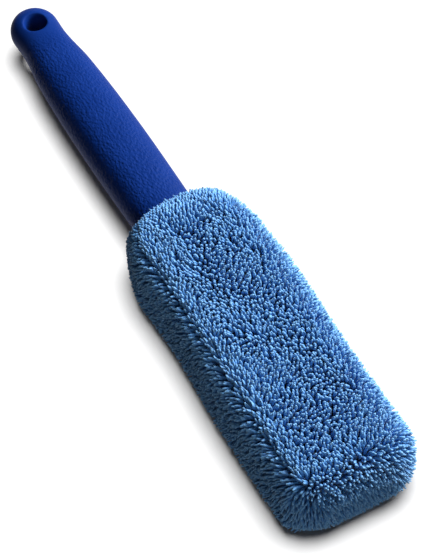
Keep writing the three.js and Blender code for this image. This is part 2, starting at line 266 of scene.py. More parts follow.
def box_object(name, low, high):
    xs, ys, zs = zip(low, high)
    corners = np.array([[x, y, z] for x in xs for y in ys for z in zs])
    sides = [[0, 1, 3, 2], [4, 6, 7, 5], [0, 4, 5, 1], [2, 3, 7, 6], [0, 2, 6, 4], [1, 5, 7, 3]]
    return new_object(name, mesh_of(name, corners, [np.array(sides)]))


def apply_modifiers(obj):
    bpy.context.view_layer.update()
    evaluated = obj.evaluated_get(bpy.context.evaluated_depsgraph_get())
    mesh = bpy.data.meshes.new_from_object(evaluated)
    obj.modifiers.clear()
    obj.data = mesh


def cut(obj, tool):
    modifier = obj.modifiers.new("cut", "BOOLEAN")
    modifier.operation = "DIFFERENCE"
    modifier.solver = "EXACT"
    modifier.object = tool
    apply_modifiers(obj)
    bpy.data.objects.remove(tool)


def voxel_remesh(obj, voxel):
    """Rebuilds a mesh from even voxels, so that relaxing it rounds every edge alike."""
    modifier = obj.modifiers.new("remesh", "REMESH")
    modifier.mode = "VOXEL"
    modifier.voxel_size = voxel * MM
    apply_modifiers(obj)


def relax(obj, passes):
    """Evens out a mesh by moving each point halfway to the middle of its neighbours."""
    points = read_values(obj.data.vertices, "co", 3)
    a, b = read_values(obj.data.edges, "vertices", 2, np.int64).T
    count = np.bincount(np.concatenate([a, b]), minlength=len(points))[:, None]
    for _ in range(passes):
        total = np.zeros_like(points)
        for axis in range(3):
            total[:, axis] = np.bincount(a, points[b, axis], len(points))
            total[:, axis] += np.bincount(b, points[a, axis], len(points))
        points += 0.5 * (total / np.maximum(count, 1) - points)
    move_points(obj.data, points)


# ---- materials, with sizes in metres ----


def new_material(name):
    material = bpy.data.materials.new(name)
    material.use_nodes = True
    tree = material.node_tree
    shader = next(n for n in tree.nodes if n.type == "BSDF_PRINCIPLED")
    return material, tree, shader


def put(obj, material):
    obj.data.materials.clear()
    obj.data.materials.append(material)


def node(tree, kind, **inputs):
    made = tree.nodes.new(kind)
    for key, value in inputs.items():
        made.inputs[key.replace("_", " ")].default_value = value
    return made


def object_coordinates(tree):
    return tree.nodes.new("ShaderNodeTexCoord").outputs["Object"]


def ramp(tree, source, stops):
    made = tree.nodes.new("ShaderNodeValToRGB")
    while len(made.color_ramp.elements) < len(stops):
        made.color_ramp.elements.new(0.5)
    for element, (place, colour) in zip(made.color_ramp.elements, stops):
        element.position = place
        element.color = (*colour, 1)
    tree.links.new(source, made.inputs["Fac"])
    return made.outputs["Color"]


def noise(tree, scale, detail=3):
    made = node(tree, "ShaderNodeTexNoise", Scale=scale, Detail=detail)
    tree.links.new(object_coordinates(tree), made.inputs["Vector"])
    return made.outputs["Fac"]


def bump(tree, shader, height, strength, distance):
    made = node(tree, "ShaderNodeBump", Strength=strength, Distance=distance)
    tree.links.new(height, made.inputs["Height"])
    tree.links.new(made.outputs["Normal"], shader.inputs["Normal"])


def to_range(tree, source, **limits):
    made = node(tree, "ShaderNodeMapRange", **limits)
    tree.links.new(source, made.inputs["Value"])
    return made.outputs["Result"]


def combine(tree, operation, a, b):
    made = tree.nodes.new("ShaderNodeMath")
    made.operation = operation
    tree.links.new(a, made.inputs[0])
    tree.links.new(b, made.inputs[1])
    return made.outputs["Value"]


def mottled(tree, shader, pattern, dark, light, roughness, spread):
    """Two tones of one colour, and a gloss that varies with them."""
    tree.links.new(ramp(tree, pattern, [(0.3, dark), (0.7, light)]), shader.inputs["Base Color"])
    gloss = to_range(tree, pattern, To_Min=roughness - spread, To_Max=roughness + spread)
    tree.links.new(gloss, shader.inputs["Roughness"])


def plain_material(name, dark, light, scale, roughness, grain=None, metallic=0.0):
    """Two mottled tones, uneven gloss, and a fine grain given as its scale and its depth."""
    material, tree, shader = new_material(name)
    mottled(tree, shader, noise(tree, scale), dark, light, roughness, 0.06)
    shader.inputs["Metallic"].default_value = metallic
    if grain:
        grain_scale, depth = grain
        bump(tree, shader, noise(tree, grain_scale, 2), 0.6, depth)
    return material


GRAIN_START = 24  # from the grip's tip to where its leather grain begins
GRAIN_FULL = 42  # and to where it is at its full depth


def leather_grain(tree):
    """Rounded cells broken up by creases, both drawn out a little along the grip."""
    stretched = node(tree, "ShaderNodeMapping", Scale=(0.75, 1.1, 1.0))
    tree.links.new(object_coordinates(tree), stretched.inputs["Vector"])
    cells = node(tree, "ShaderNodeTexVoronoi", Scale=720.0)
    cells.feature = "SMOOTH_F1"
    tree.links.new(stretched.outputs["Vector"], cells.inputs["Vector"])
    creases = node(tree, "ShaderNodeTexNoise", Scale=520.0, Detail=3.0, Roughness=0.6)
    tree.links.new(stretched.outputs["Vector"], creases.inputs["Vector"])
    return combine(tree, "ADD", cells.outputs["Distance"], creases.outputs["Fac"])


def grip_material():
    """Moulded plastic with a leather grain that fades out towards the smooth tip."""
    material, tree, shader = new_material("grip_plastic")
    dark, light = (0.0025, 0.018, 0.125), (0.0035, 0.022, 0.145)
    mottled(tree, shader, noise(tree, 60, 4), dark, light, 0.51, 0.05)
    shader.inputs["Specular IOR Level"].default_value = 0.05
    shader.inputs["Specular Tint"].default_value = (0.35, 0.55, 1.0, 1)
    place = tree.nodes.new("ShaderNodeSeparateXYZ")
    tree.links.new(object_coordinates(tree), place.inputs["Vector"])
    start, full = (TIP_X + GRAIN_START) * MM, (TIP_X + GRAIN_FULL) * MM
    fade = to_range(tree, place.outputs["X"], From_Min=start, From_Max=full)
    bump(tree, shader, combine(tree, "MULTIPLY", leather_grain(tree), fade), 0.75, 0.0006)
    return material


def strand_value(tree, name):
    made = tree.nodes.new("ShaderNodeAttribute")
    made.attribute_name = name
    return made.outputs["Fac"]


# The yarn's blue from root to tip. Its darkening towards the root is painted shade between the strands, and
# its lightening at the tip is a painted highlight.
YARN_TONE_AND_PAINTED_LIGHT = [
    (0.0, (0.034, 0.19, 0.49)),
    (0.6, (0.042, 0.205, 0.51)),
    (0.84, (0.07, 0.25, 0.56)),
    (0.97, (0.145, 0.37, 0.66)),
]
YARN_SHADES = [(0.0, (0.8, 0.82, 0.85)), (1.0, (1.1, 1.08, 1.06))]


def pile_material():
    """Microfibre yarn, each strand a little different: darker at the root as painted shade between the
    strands, lighter at the tip as a painted highlight.
    """
    material, tree, shader = new_material("pile_yarn")
    vary = tree.nodes.new("ShaderNodeMix")
    vary.data_type = "RGBA"
    vary.blend_type = "MULTIPLY"
    vary.inputs["Factor"].default_value = 1.0
    tree.links.new(ramp(tree, strand_value(tree, "along"), YARN_TONE_AND_PAINTED_LIGHT), vary.inputs["A"])
    tree.links.new(ramp(tree, strand_value(tree, "shade"), YARN_SHADES), vary.inputs["B"])
    tree.links.new(vary.outputs["Result"], shader.inputs["Base Color"])
    shader.inputs["Roughness"].default_value = 0.62
    shader.inputs["Sheen Weight"].default_value = 0.25
    shader.inputs["Sheen Roughness"].default_value = 0.4
    shader.inputs["Sheen Tint"].default_value = (0.75, 0.87, 1.0, 1)
    return material


def knit_material(name, dark, light):
    """A fine knitted cloth: rows of small loops."""
    material, tree, shader = new_material(name)
    waves = node(tree, "ShaderNodeTexWave", Scale=260.0, Distortion=2.5, Detail=1.0)
    tree.links.new(object_coordinates(tree), waves.inputs["Vector"])
    loops = waves.outputs["Fac"]
    tree.links.new(ramp(tree, loops, [(0.2, dark), (0.8, light)]), shader.inputs["Base Color"])
    shader.inputs["Roughness"].default_value = 0.85
    shader.inputs["Sheen Weight"].default_value = 0.3
    bump(tree, shader, loops, 0.5, 0.0003)
    return material


def foam_material():
    """Open foam, with painted shade in its pores."""
    material, tree, shader = new_material("foam_grey")
    pores = node(tree, "ShaderNodeTexVoronoi", Scale=900.0)
    tree.links.new(object_coordinates(tree), pores.inputs["Vector"])
    walls = pores.outputs["Distance"]
    # The dark end of this ramp, in the pores, is painted shade. The light end is the foam's own grey.
    tones = [(0.0, (0.015, 0.016, 0.019)), (0.45, (0.095, 0.1, 0.11))]
    tree.links.new(ramp(tree, walls, tones), shader.inputs["Base Color"])
    shader.inputs["Roughness"].default_value = 0.95
    bump(tree, shader, walls, 0.8, 0.0006)
    return material


# ---- grip ----

GRIP_SECTIONS = [  # distance from the tip, half width, half height
    (15, 14.9, 11.2),
    (30, 14.8, 11.4),
    (53, 17.4, 12.6),
    (85, 18.8, 14),
    (124, 19.3, 14.5),
    (166, 18.9, 14.2),
    (186, 18.2, 13.6),
    (211, 15, 10.8),
]
SQUARENESS = 2.3
GRIP_SIDES = 96
TIP_RINGS = 25
TIP_BLUNTNESS = 0.7
TIP_START = 0.04  # the angle up the tip's dome where its rings begin
BODY_RINGS = 150
GRIP_VOXEL = 0.55

HOLE_FROM_TIP = 17.5
# The hang hole's radius at heights above the grip's middle.
HOLE_PROFILE = [(7.4, 16), (7.4, 10.4), (7.0, 9.7), (6.4, 8.8), (6.2, 8.0)]
SLOT_HALF_WIDTH = 9.8
TANG_CLEARANCE = 0.3
SEAT_RADIUS = 3.4  # the wide part of a screw's hole, for its head
SEAT_HEIGHT = 2.3  # from the screw's underside to where its head sits
SHANK_HOLE_RADIUS = 2.0


def grip_half_sizes(distance):
    """Half width and half height at a distance from the tip, on a smooth curve through the sections."""
    rows = np.array(GRIP_SECTIONS, float)
    i = int(np.clip(np.searchsorted(rows[:, 0], distance), 1, len(rows) - 1))
    t = (distance - rows[i - 1, 0]) / (rows[i, 0] - rows[i - 1, 0])
    a, b = rows[i - 1, 1:], rows[i, 1:]
    before, after = rows[max(0, i - 2), 1:], rows[min(len(rows) - 1, i + 1), 1:]
    slope_a, slope_b = (b - before) / 2, (after - a) / 2
    blend_a, blend_b = 2 * t**3 - 3 * t**2 + 1, 3 * t**2 - 2 * t**3
    return a * blend_a + slope_a * (t**3 - 2 * t**2 + t) + b * blend_b + slope_b * (t**3 - t**2)


def oval_ring(x, w, h):
    """A ring round the grip, between an ellipse and a rectangle."""
    angle = np.arange(GRIP_SIDES) / GRIP_SIDES * 2 * math.pi
    c, s = np.cos(angle), np.sin(angle)
    y = w * np.sign(c) * np.abs(c) ** (2 / SQUARENESS)
    z = h * np.sign(s) * np.abs(s) ** (2 / SQUARENESS)
    return np.stack([np.full(GRIP_SIDES, x), y, z + MID_Z], 1)


def grip_rings():
    """Rings over the domed tip, then through the grip's sections to its end."""
    length, w, h = GRIP_SECTIONS[0]
    rings = []
    for angle in np.linspace(TIP_START, math.pi / 2, TIP_RINGS, endpoint=False):
        x = TIP_X + length * (1 - math.cos(angle))
        rings.append(oval_ring(x, w * math.sin(angle), h * math.sin(angle) ** TIP_BLUNTNESS))
    for distance in np.linspace(length, GRIP_END_X - TIP_X, BODY_RINGS):
        rings.append(oval_ring(TIP_X + distance, *grip_half_sizes(distance)))
    return rings


def cut_hang_hole(grip):
    """A hole through the tip that flares at both faces."""
    lower = [(radius, MID_Z - height) for radius, height in HOLE_PROFILE]
    upper = [(radius, MID_Z + height) for radius, height in reversed(HOLE_PROFILE)]
    cut(grip, lathe("hole_tool", lower + upper, TIP_X + HOLE_FROM_TIP, 0, 64))


def cut_tang_slot(grip):
    """The slot in the grip's end that takes the blade's tang."""
    low, high = node_box("paddle_blade")
    near = [low[0] - TANG_CLEARANCE, -SLOT_HALF_WIDTH, low[2] - TANG_CLEARANCE]
    far = [GRIP_END_X + 1, SLOT_HALF_WIDTH, high[2] + TANG_CLEARANCE]
    cut(grip, box_object("slot_tool", near, far))


def cut_screw_seats(grip):
    """A stepped hole from below for each tang screw."""
    for name in ("tang_screw_left", "tang_screw_right"):
        low, high = node_box(name)
        x, y = (low[0] + high[0]) / 2, (low[1] + high[1]) / 2
        seat = low[2] + SEAT_HEIGHT
        wide = [(SEAT_RADIUS, 0), (SEAT_RADIUS, seat)]
        narrow = [(SHANK_HOLE_RADIUS, seat + 0.01), (SHANK_HOLE_RADIUS, high[2] + TANG_CLEARANCE)]
        cut(grip, lathe("screw_tool", wide + narrow, x, y, 32))


def make_grip():
    grip = new_object("grip_moulding", capped_loft("grip_moulding", grip_rings()))
    cut_hang_hole(grip)
    cut_tang_slot(grip)
    cut_screw_seats(grip)
    voxel_remesh(grip, GRIP_VOXEL)
    relax(grip, 6)
    grip.data.shade_smooth()
    put(grip, grip_material())
    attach(grip, "handle")
    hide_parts("handle_grip")


# ---- where the strands of pile grow ----

STRAND_SPACING = 2.1
ROW_SPACING = STRAND_SPACING * 0.866  # each row is half a strand out of step with the last
CANOPY_INSET = 1  # how far inside the head's outline the strands are spaced evenly
JITTER = 0.08  # how far a strand strays from its place in its row, as a share of the spacing
ROW_JITTER = 0.07  # and from its row
NECK_SPAN = 30  # how much of the head counts as its neck end when rows are placed
END_SPAN = 21  # and as its far end
LIP_ROWS = [(0.3, 0.75), (1.5, 0.35), (2.6, 0.05)]  # depth under the backing, outward share of the growth


def flat_part(vectors, normals):
    """The part of each vector that lies in the surface."""
    return vectors - (vectors * normals).sum(1, keepdims=True) * normals


def row_places():
    """X of each row of strands, evenly spaced along the head's outline.

    The outline is sampled finely at both ends, where it turns in.
    """
    end = HEAD_END_X - CANOPY_INSET
    neck = MOUTH_X + 0.6 + np.linspace(0, NECK_SPAN, 400) ** 2 / NECK_SPAN
    body = np.linspace(MOUTH_X + NECK_SPAN + 1, end - END_SPAN - 1, 1200)
    tail = end - END_SPAN * (1 - np.sin(np.linspace(0.01, math.pi / 2 - 0.01, 600)))
    xs = np.concatenate([neck, body, tail])
    w, h, _ = section_sizes(xs, CANOPY_INSET)
    inward = np.maximum(np.abs(np.diff(h)), 0.8 * np.abs(np.diff(w)))
    length = np.concatenate([[0], np.cumsum(np.hypot(np.diff(xs), inward))])
    rows = int(length[-1] / ROW_SPACING)
    return np.interp(np.linspace(0, length[-1], rows), length, xs)


def row_roots(rng):
    """Roots and normals of the strands that grow in rows round the head."""
    places, shares = [], []
    for i, x in enumerate(row_places()):
        around = 2 * half_perimeter(*section_sizes(x, CANOPY_INSET))
        n = int(round(around / STRAND_SPACING))
        shares.append((np.arange(n) + 0.5 * (i % 2) + rng.normal(0, JITTER, n)) / n)
        places.append(x + rng.normal(0, ROW_JITTER, n) * STRAND_SPACING)
    x, v = np.concatenate(places), np.concatenate(shares)
    x = np.clip(x, MOUTH_X + 0.4, HEAD_END_X - CANOPY_INSET - 0.06)
    normals = head_normal(x, v, CANOPY_INSET)
    depth = backing_inset(x) - CANOPY_INSET
    return head_point(x, v, CANOPY_INSET) - normals * depth[:, None], normals


def end_roots(rng):
    """Roots and normals of the strands on the flat of the far end."""
    w, h, _ = section_sizes(HEAD_END_X - CANOPY_INSET, CANOPY_INSET)
    ys, zs = np.meshgrid(np.arange(-w + 1, w, STRAND_SPACING), np.arange(-h + 1, h, ROW_SPACING))
    ys[1::2] += STRAND_SPACING / 2
    roots = to_frame(np.full(ys.size, HEAD_END_X - PILE_DEPTH), ys.ravel(), zs.ravel())
    roots[:, 1:] += rng.normal(0, JITTER * STRAND_SPACING, (len(roots), 2))
    return roots, np.tile([1.0, 0, 0], (len(roots), 1))


def lip_strands(rng):
    """Roots, normals and lean of the strands on the edge of the mouth, which lie forward over the hem."""
    x = MOUTH_X + 0.35
    roots, normals, lean = [], [], []
    for row, (depth, outward) in enumerate(LIP_ROWS):
        inset = MOUTH_PILE_DEPTH + depth
        n = int(2 * half_perimeter(*section_sizes(x, inset)) / STRAND_SPACING)
        v = (np.arange(n) + 0.5 * (row % 2) + rng.normal(0, 2 * JITTER, n)) / n
        side = head_normal(np.full(n, x), v, MOUTH_PILE_DEPTH)
        side[:, 0] = 0
        roots.append(head_point(np.full(n, x), v, inset))
        normals.append(unit(outward * side - [1.0, 0, 0]))
        lean.append(0.3 * flat_part(-side, normals[-1]) + rng.normal(0, 0.12, (n, 3)))
    return [np.concatenate(part) for part in (roots, normals, lean)]


# ---- how the strands lean ----

SWIRL_SIZE = 50
SWIRL_TURN = 2.2  # radians
RIPPLE_SIZE = 14
RIPPLE_TURN = 0.3
LEAN_PATCH_SIZE = 24
MEAN_LEAN = 0.2
LEAN_SPREAD = 0.12
WHORL_CENTRE = np.array([HEAD_END_X - SEAM_INSET - 1, 8, 2 * MID_Z])
WHORL_RADIUS = 19
WHORL_LEAN = 0.35
END_CALM = 0.85  # how much straighter the far end's pile stands
SIDE_SAG = 0.05
CORNER_SAG = 0.45  # the pile hangs down most at the far right corner
GROUND_SPLAY = 0.45
TOP_STRAY = 0.06  # how unevenly neighbours lean on the broad faces
SIDE_STRAY = 0.2  # and on the sides


def wave_field(rng, points, size, count=7):
    """A smooth random value, mostly from -1 to 1, that changes over about size millimetres."""
    total = np.zeros(len(points))
    for _ in range(count):
        direction = unit(rng.normal(size=3)) * 2 * math.pi / (size * rng.uniform(0.7, 1.6))
        total += np.sin(points @ direction + rng.uniform(0, 2 * math.pi))
    return total / math.sqrt(count)


def lower_edge(normals):
    """1 where the head turns in to its lower face, where the pile is pressed out along the ground."""
    below = -normals[:, 2]
    return smooth_step((below - 0.1) / 0.5) * (1 - smooth_step((below - 0.85) / 0.12))


def seam_line(above):
    """Points along the seam of the top or bottom panel, and along its crease in the cuff."""
    x = np.linspace(MOUTH_X + 8, HEAD_END_X - SEAM_INSET - 0.1, 220)
    w, h, r = section_sizes(x, backing_inset(x))
    y, z = along_section(seam_distance(x, w, r), w, h, r)
    across = np.linspace(y[-1], -y[-1], 40)
    x = np.concatenate([x, x, np.full(40, x[-1])])
    z = np.concatenate([z, z, np.full(40, z[-1])])
    return to_frame(x, np.concatenate([y, -y, across]), z if above else -z)


def swirl(rng, roots, along, across):
    """A lean that turns slowly this way and that over the head."""
    turn = wave_field(rng, roots, SWIRL_SIZE) * SWIRL_TURN
    turn += wave_field(rng, roots, RIPPLE_SIZE) * RIPPLE_TURN
    amount = MEAN_LEAN + LEAN_SPREAD * wave_field(rng, roots, LEAN_PATCH_SIZE)
    return amount[:, None] * (np.cos(turn)[:, None] * along + np.sin(turn)[:, None] * across)


def part_at_seams(lean, roots, normals, along):
    """Pile combed back along the seams and away from them, most on the right."""
    x, y, _ = roots.T
    on_panel = panel_half_width(x) > np.abs(y - bow(x))
    reach = np.where(on_panel, 5.5, 7.0)
    strength = np.where(x > HEAD_END_X - SEAM_INSET - 4, 0.35, np.where(y < 0, 1, 0.3))
    for above in (True, False):
        line = seam_line(above)
        gap = np.linalg.norm(roots[:, None] - line[None], axis=2)
        away = unit(flat_part(roots - line[gap.argmin(1)], normals))
        near = (np.exp(-((gap.min(1) / reach) ** 2)) * strength)[:, None]
        combed = np.where(on_panel[:, None], 0.1 * away - 0.5 * along, 0.5 * away - 0.25 * along)
        lean = lerp(lean, combed, near)
    return lean


def whorl(lean, roots, normals):
    """A crown near the far end of the top, with the pile lying away from it all round."""
    offset = roots - WHORL_CENTRE
    near = np.exp(-((np.linalg.norm(offset, axis=1) / WHORL_RADIUS) ** 2))[:, None]
    return lerp(lean, WHORL_LEAN * unit(flat_part(offset, normals)), near)


def hang(lean, roots, normals, down, end_facing):
    """Pile that hangs down the sides, most at the far right corner, and splays out along the ground."""
    x, y, _ = roots.T
    low = lower_edge(normals) * (1 - end_facing)
    corner = smooth_step((x - HEAD_END_X + 34) / 20) * smooth_step((-y - 12) / 14)
    sag = (SIDE_SAG + CORNER_SAG * corner * (1 - low)) * (1 - np.abs(normals[:, 2]))
    outward = unit(flat_part(normals * [1.0, 1.0, 0], normals))
    return lean + sag[:, None] * down + (GROUND_SPLAY * low)[:, None] * outward


def gather_neck(lean, roots, along, down):
    """Pile that lies forward over the mouth, and on the right hangs down instead."""
    x, y, _ = roots.T
    neck = np.clip(1 - (x - MOUTH_X) / NECK_LENGTH, 0, 1)
    right = smooth_step(-(y + 4) / 14)
    forward = neck * lerp(1.2, 0.3, right)
    hanging = neck * lerp(0, 0.9, right)
    return lean - forward[:, None] * along + hanging[:, None] * down


def lean_field(rng, roots, normals):
    """Which way each strand leans, as a vector in the surface whose length is how much."""
    along = unit(flat_part(np.tile([1.0, 0, 0.02], (len(roots), 1)), normals))
    down = flat_part(np.tile([0, 0, -1.0], (len(roots), 1)), normals)
    lean = swirl(rng, roots, along, np.cross(normals, along))
    lean = part_at_seams(lean, roots, normals, along)
    lean = whorl(lean, roots, normals)
    end_facing = smooth_step((normals[:, 0] - 0.3) / 0.5)
    lean *= (1 - END_CALM * end_facing)[:, None]
    lean = hang(lean, roots, normals, down, end_facing)
    lean = gather_neck(lean, roots, along, down)
    on_sides = (1 - np.abs(normals[:, 2])) * (normals[:, 0] < 0.3)
    stray = lerp(TOP_STRAY, SIDE_STRAY, on_sides)
    lean += rng.normal(0, 1, roots.shape) * stray[:, None]
    return flat_part(lean, normals)


# ---- strands ----

STRAND_SIDES = 7
STRAND_RINGS = 7
STRAND_RADIUS = 0.66
RADIUS_SPREAD = 0.08
SIDE_RADIUS_SHARE = 0.82  # strands on the sides are finer
TOP_RADIUS_SHARE = 1.2  # and those on top are fuller
THICK_PLACES = [0, 0.3, 0.65, 0.9, 1]  # shares of a strand's length
THICKNESSES = [1.0, 1.25, 1.2, 0.95, 0.65]  # and how thick it is there, in its own radii
LENGTH_SPREAD = 0.035
SHOULDER_CUT = 0.5  # shares by which strands are shorter, or longer, than their depth calls for
UNDER_END_CUT = 0.5
LOWER_EDGE_EXTRA = 0.12
BOW_EXTRA = 0.16
FLARE_EXTRA = 0.18
LEAST_TILT = 4  # degrees
TILT_RANGE = 64
TILT_SPREAD = 0.08  # radians
WIGGLE = 0.38
LOBE = 0.2  # how far two twisted plies stand out of a round section
GROUND_GAP = 0.3
TIP_LENGTH = 0.55  # in radii
END_PILE_LENGTH = 26  # the side pile over this last part of the head is a piece of its own


def tilt_of(lean):
    """How far a strand turns from its normal towards its tip, in radians."""
    amount = np.linalg.norm(lean, axis=1)
    return np.radians(LEAST_TILT + TILT_RANGE * np.tanh(1.1 * amount))


def strand_lengths(rng, roots, normals, lean):
    """Lengths that bring the tips about level, longer where strands lie over.

    They are shorter at the right shoulder and low on the far end. They are longer along the lower edge, and
    towards the left where the cover bows that way and at the far corner.
    """
    x, y, z = roots.T
    level = backing_inset(x) + 0.6
    lengths = level / np.cos(0.4 * tilt_of(lean)) * rng.normal(1, LENGTH_SPREAD, len(roots))
    shoulder = np.clip(1 - (x - MOUTH_X) / 30, 0, 1) * smooth_step(-y / 20)
    under_end = smooth_step((normals[:, 0] - 0.2) / 0.4) * smooth_step((MID_Z - z) / MID_Z)
    lengths *= (1 - SHOULDER_CUT * shoulder) * (1 - UNDER_END_CUT * under_end)
    lengths *= 1 + LOWER_EDGE_EXTRA * lower_edge(normals)
    sideways = normals[:, 1] * bow(x) / BOW
    flared = normals[:, 0] * np.clip(y / HALF_WIDTH, -1, 1) * (x > MID_X)
    return lengths * (1 + BOW_EXTRA * sideways + FLARE_EXTRA * flared)


def strand_paths(rng, roots, normals, lean, lengths):
    """Points up the middle of each strand, which starts near its normal and bends over the way it leans."""
    n = len(roots)
    t = np.linspace(0, 1, STRAND_RINGS)
    way = unit(lean)
    binormal = unit(np.cross(normals, way))
    tilt = tilt_of(lean)[:, None] * (0.3 + 0.8 * t) + rng.normal(0, TILT_SPREAD, (n, 1))
    heading = np.cos(tilt)[..., None] * normals[:, None] + np.sin(tilt)[..., None] * way[:, None]
    step = (lengths / (STRAND_RINGS - 1))[:, None, None]
    risen = np.concatenate([np.zeros((n, 1, 3)), np.cumsum(heading[:, :-1], 1)], 1)
    turns = rng.uniform(0.7, 1.4, (n, 1))
    start = rng.uniform(0, 1, (n, 1))
    wiggle = WIGGLE * np.sin(2 * math.pi * (t * turns + start)) * t
    path = roots[:, None] + risen * step + wiggle[..., None] * binormal[:, None]
    return path, heading, binormal


def strand_rings(rng, path, heading, binormal, thick):
    """Two-lobed rings round each path, which twist on the way up."""
    n = len(path)
    t = np.linspace(0, 1, STRAND_RINGS)
    side = np.cross(heading, binormal[:, None])
    angle = np.arange(STRAND_SIDES) / STRAND_SIDES * 2 * math.pi
    twist = rng.uniform(0, 2 * math.pi, (n, 1)) + t * rng.uniform(4.0, 7.0, (n, 1))
    turned = angle + twist[..., None]
    across = np.cos(turned)[..., None] * binormal[:, None, None]
    outward = across + np.sin(turned)[..., None] * side[:, :, None]
    reach = thick[..., None] * (1 + LOBE * np.cos(2 * angle))
    return path[:, :, None] + reach[..., None] * outward


def grow(rng, name, roots, normals, lean, lengths, radius):
    """One piece of pile: twisted strands, each a tube with a pointed tip, open where it meets the backing."""
    n = len(roots)
    t = np.linspace(0, 1, STRAND_RINGS)
    path, heading, binormal = strand_paths(rng, roots, normals, lean, lengths)
    thick = radius[:, None] * np.interp(t, THICK_PLACES, THICKNESSES)
    path[..., 2] = np.maximum(path[..., 2], thick + GROUND_GAP)
    rings = strand_rings(rng, path, heading, binormal, thick)
    tips = path[:, -1] + heading[:, -1] * radius[:, None] * TIP_LENGTH
    points = np.concatenate([rings.reshape(n, -1, 3), tips[:, None]], 1)
    per = points.shape[1]
    first = (np.arange(n) * per)[:, None, None]
    last_ring = np.arange(STRAND_SIDES) + (STRAND_RINGS - 1) * STRAND_SIDES
    quads = (tube_faces(STRAND_RINGS, STRAND_SIDES) + first).reshape(-1, 4)
    caps = (fan(last_ring, per - 1) + first).reshape(-1, 3)
    mesh = mesh_of(name, points, [quads, caps])
    along = np.append(np.repeat(t, STRAND_SIDES), 1.0)
    add_values(mesh, "along", np.tile(along, n))
    add_values(mesh, "shade", np.repeat(rng.uniform(0, 1, n), per))
    return new_object(name, mesh)


PILE_NODES = {
    "pile_top": "cover_top_panel",
    "pile_bottom": "cover_bottom_panel",
    "pile_side_left": "cover_side_strip",
    "pile_side_right": "cover_side_strip",
    "pile_end": "cover_side_strip",
    "pile_cuff": "cover_cuff",
}


def region_of(roots):
    """The name of the pile piece each strand belongs to."""
    x, y, z = roots.T
    on_face = (np.abs(y - bow(x)) < panel_half_width(x)) & (x < HEAD_END_X - SEAM_INSET)
    name = np.where(y < 0, "pile_side_right", "pile_side_left").astype(object)
    name[x > HEAD_END_X - END_PILE_LENGTH] = "pile_end"
    name[on_face & (z > MID_Z)] = "pile_top"
    name[on_face & (z < MID_Z)] = "pile_bottom"
    name[x < CUFF_END_X] = "pile_cuff"
    return name


def make_pile():
    """The pile pieces by name, all grown from one field of strands."""
    rng = np.random.default_rng(SEED)
    fields = zip(row_roots(rng), end_roots(rng))
    roots, normals = [np.concatenate(pair) for pair in fields]
    lean = lean_field(rng, roots, normals)
    lips = lip_strands(rng)
    roots, normals, lean = [np.concatenate(pair) for pair in zip((roots, normals, lean), lips)]
    lengths = strand_lengths(rng, roots, normals, lean)
    share = lerp(SIDE_RADIUS_SHARE, TOP_RADIUS_SHARE, smooth_step(normals[:, 2] / 0.7))
    radius = STRAND_RADIUS * share * rng.normal(1, RADIUS_SPREAD, len(roots))
    region = region_of(roots)
    yarn = pile_material()
    made = {}
    for name in PILE_NODES:
        here = region == name
        strands = grow(rng, name, roots[here], normals[here], lean[here], lengths[here], radius[here])
        put(strands, yarn)
        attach(strands, "cover")
        made[name] = strands
    return made


# ---- knitted backing ----

BACKING_THICKNESS = 0.6
BODY_ROWS = 80
NECK_ROWS = 30
TAIL_ROWS = 12
PANEL_COLUMNS = 30
SIDE_COLUMNS = 24
CUFF_COLUMNS = 120
END_COLUMNS = 96
CLOSING_RINGS = (0.75, 0.5, 0.25, 0.05)  # shares of the last ring's size


def backing_mesh(name, xs, start, end, columns):
    """A strip of backing from start to end round the section.

    Each is a share of the whole way round, and how many seam distances past it.
    """
    rows = []
    for x in xs:
        w, h, r = section_sizes(x, backing_inset(x))
        around = 2 * half_perimeter(w, h, r)
        seam = seam_distance(x, w, r)
        first, last = (share * around + seams * seam for share, seams in (start, end))
        s = np.linspace(first, last, columns)
        rows.append(to_frame(x, *along_section(s, w, h, r)))
    corner = np.arange(len(xs) - 1)[:, None] * columns + np.arange(columns - 1)
    faces = corner.reshape(-1, 1) + np.array([[0, 1, columns + 1, columns]])
    return mesh_of(name, np.concatenate(rows), [faces])


def end_cap(name, xs):
    """The backing round the far end: rings that close to the flat of the end."""
    shares = np.arange(END_COLUMNS) / END_COLUMNS
    rings = [head_point(x, shares, PILE_DEPTH) for x in xs]
    outer, centre = rings[-1], rings[-1].mean(0)
    for share in CLOSING_RINGS:
        rings.append(centre + (outer - centre) * share)
    points = np.concatenate(rings + [centre[None]])
    last = np.arange(END_COLUMNS) + (len(rings) - 1) * END_COLUMNS
    return mesh_of(name, points, [tube_faces(len(rings), END_COLUMNS), fan(last, len(points) - 1)])


def thicken(obj, depth):
    modifier = obj.modifiers.new("thickness", "SOLIDIFY")
    modifier.thickness = depth * MM
    modifier.offset = -1
    apply_modifiers(obj)
    obj.data.shade_smooth()


